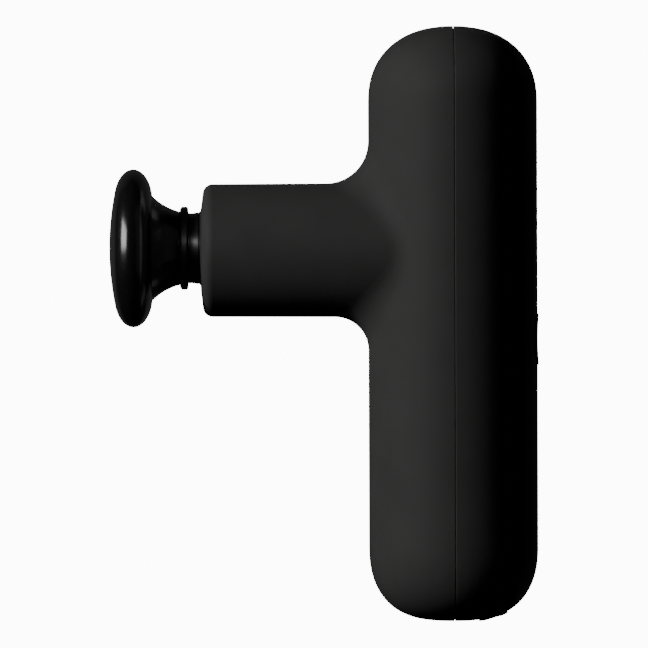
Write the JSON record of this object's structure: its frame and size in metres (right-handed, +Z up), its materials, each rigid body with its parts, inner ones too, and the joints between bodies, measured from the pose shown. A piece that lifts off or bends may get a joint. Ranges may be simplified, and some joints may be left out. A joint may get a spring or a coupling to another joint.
{
  "type": "massage gun",
  "caption": "Compact cordless massage gun: upright round handle, side neck, and a mushroom-shaped head on a crank-driven plunger.",
  "frame": {"origin": "on the handle's axis, in the middle of the straight hand grip below the neck", "axes": "+Z up along the handle, -X along the neck towards the massage head, +Y to the user's side; the rear panel and its button face +X"},
  "size_m": [0.1082, 0.0426, 0.1501],
  "materials": {
    "soft_touch_shell": "soft-touch matte",
    "panel_gloss": "polished",
    "trim_satin": "satin",
    "light_pipe": "frosted",
    "button_satin": "satin",
    "switch_case": "moulded",
    "switch_plunger": "moulded",
    "silicone": "satin",
    "damping_rubber": "matte",
    "foam": "open-cell foam",
    "engineering_plastic": "glass-filled nylon",
    "bush_polymer": "acetal",
    "head_gloss": "polished",
    "stem_black": "satin nylon",
    "screw_zinc": "zinc plated",
    "screw_black": "black oxide",
    "cast_alloy": "die cast",
    "turned_alloy": "turned and anodised",
    "ground_steel": "ground",
    "bearing_steel": "polished",
    "lamination": "coated laminations",
    "copper": "enamelled wire",
    "magnet": "nickel plated",
    "brass_weight": "machined",
    "cell_steel": "nickel plated",
    "pvc_wrap": "shrink film",
    "nickel": "strip",
    "circuit_board": "solder mask",
    "chip_black": "moulded",
    "led_white": "diffused",
    "connector_white": "moulded",
    "usb_steel": "plated",
    "wire_insulation": "silicone insulated"
  },
  "bodies": {
    "housing": {"front_shell": "soft_touch_shell", "rear_shell": "soft_touch_shell", "spine_cover": "panel_gloss", "port_collar": "trim_satin", "light_pipes": "light_pipe", "shell_screws": "screw_black", "power_switch": "switch_case", "dust_boot": "silicone", "boot_retainer": "engineering_plastic", "guide_sleeve": "cast_alloy", "front_guide_bush": "bush_polymer", "rear_guide_bush": "bush_polymer", "neck_damping_rings": "damping_rubber", "sleeve_screws": "screw_zinc", "drive_frame": "cast_alloy", "frame_screws": "screw_zinc", "frame_grommets": "damping_rubber", "motor_base": "turned_alloy", "motor_base_screws": "screw_zinc", "motor_bearings": "bearing_steel", "stator_core": "lamination", "stator_windings": "copper", "battery_cell_left": "cell_steel", "battery_cell_right": "cell_steel", "battery_wrap": "pvc_wrap", "nickel_straps": "nickel", "cell_holder_bottom": "switch_case", "cell_holder_top": "switch_case", "battery_pad": "foam", "main_board": "circuit_board", "board_screws": "screw_zinc", "board_components": "chip_black", "status_leds": "led_white", "wire_connectors": "connector_white", "usb_socket": "usb_steel", "motor_leads": "wire_insulation", "battery_leads": "wire_insulation"},
    "rotor": {"rotor_can": "turned_alloy", "rotor_magnets": "magnet", "motor_shaft": "ground_steel", "crank_disc": "cast_alloy", "counterweight": "brass_weight", "counterweight_screws": "screw_zinc", "crank_grub_screw": "screw_black"},
    "plunger": {"plunger_tube": "turned_alloy", "wrist_pin": "ground_steel"},
    "rod": {"connecting_rod": "cast_alloy", "crank_pin": "ground_steel", "crank_pin_bearing": "bearing_steel"},
    "head": {"massage_head": "head_gloss", "head_stem": "stem_black", "stem_o_rings": "damping_rubber"},
    "button": {"power_button": "button_satin", "switch_actuator": "switch_plunger"}
  },
  "joints": [
    {"name": "motor_spin", "type": "hinge", "parent": "housing", "child": "rotor", "pos_m": [0.004, 0, 0.05115], "axis": [0, 0, 1], "continuous": true},
    {"name": "plunger_stroke", "type": "slide", "parent": "housing", "child": "plunger", "axis": [-1, 0, 0], "range_m": [0, 0.007], "deforming": ["dust_boot"]},
    {"name": "rod_swing", "type": "hinge", "parent": "plunger", "child": "rod", "pos_m": [-0.0265, 0, 0.05115], "axis": [0, 0, 1], "range_deg": [-5.9, 5.9]},
    {"name": "head_pull_off", "type": "slide", "parent": "plunger", "child": "head", "axis": [-1, 0, 0], "range_m": [0, 0.022]},
    {"name": "button_press", "type": "slide", "parent": "housing", "child": "button", "axis": [-1, 0, 0], "range_m": [0, 0.00035], "stiffness_N_per_m": 4000, "springref_m": -0.0002}
  ]
}
